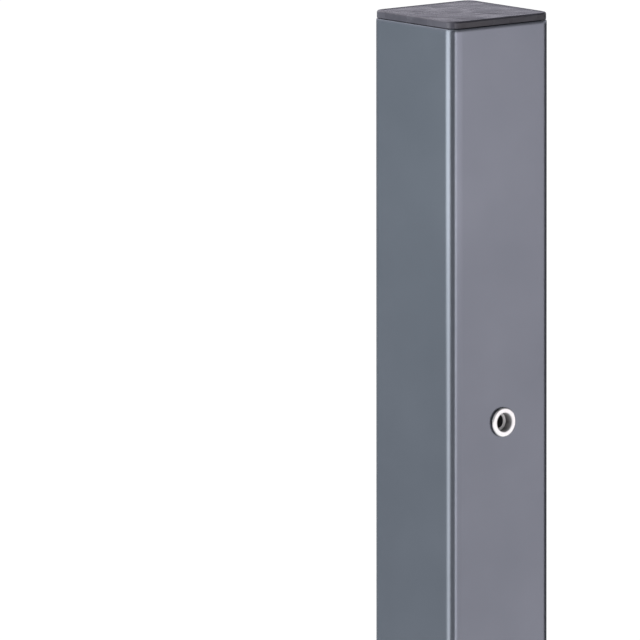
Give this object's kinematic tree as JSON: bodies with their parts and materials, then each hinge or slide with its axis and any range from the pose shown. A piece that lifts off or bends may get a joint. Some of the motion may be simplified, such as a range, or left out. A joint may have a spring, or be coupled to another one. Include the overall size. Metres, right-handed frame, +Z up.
{
  "type": "metal fence post",
  "caption": "Upright square steel fence post with rounded corners, a flat push-in plastic cap and threaded inserts in one face for bolting on a panel bracket.",
  "frame": {"origin": "centre of the post's open lower end, on the plane it stands on", "axes": "+Z up along the post; the face with the threaded inserts looks along -Y"},
  "size_m": [0.06, 0.0615, 1.2038],
  "materials": {
    "post_paint": "fine smooth powder coat, blue-grey, satin sheen",
    "cap_plastic": "moulded polyethylene, grey, fine matte grain",
    "nut_zinc": "bright zinc plate"
  },
  "bodies": {
    "root": {"post_tube": "post_paint", "top_cap": "cap_plastic", "rivet_nut_upper": "nut_zinc", "rivet_nut_lower": "nut_zinc"}
  },
  "joints": []
}
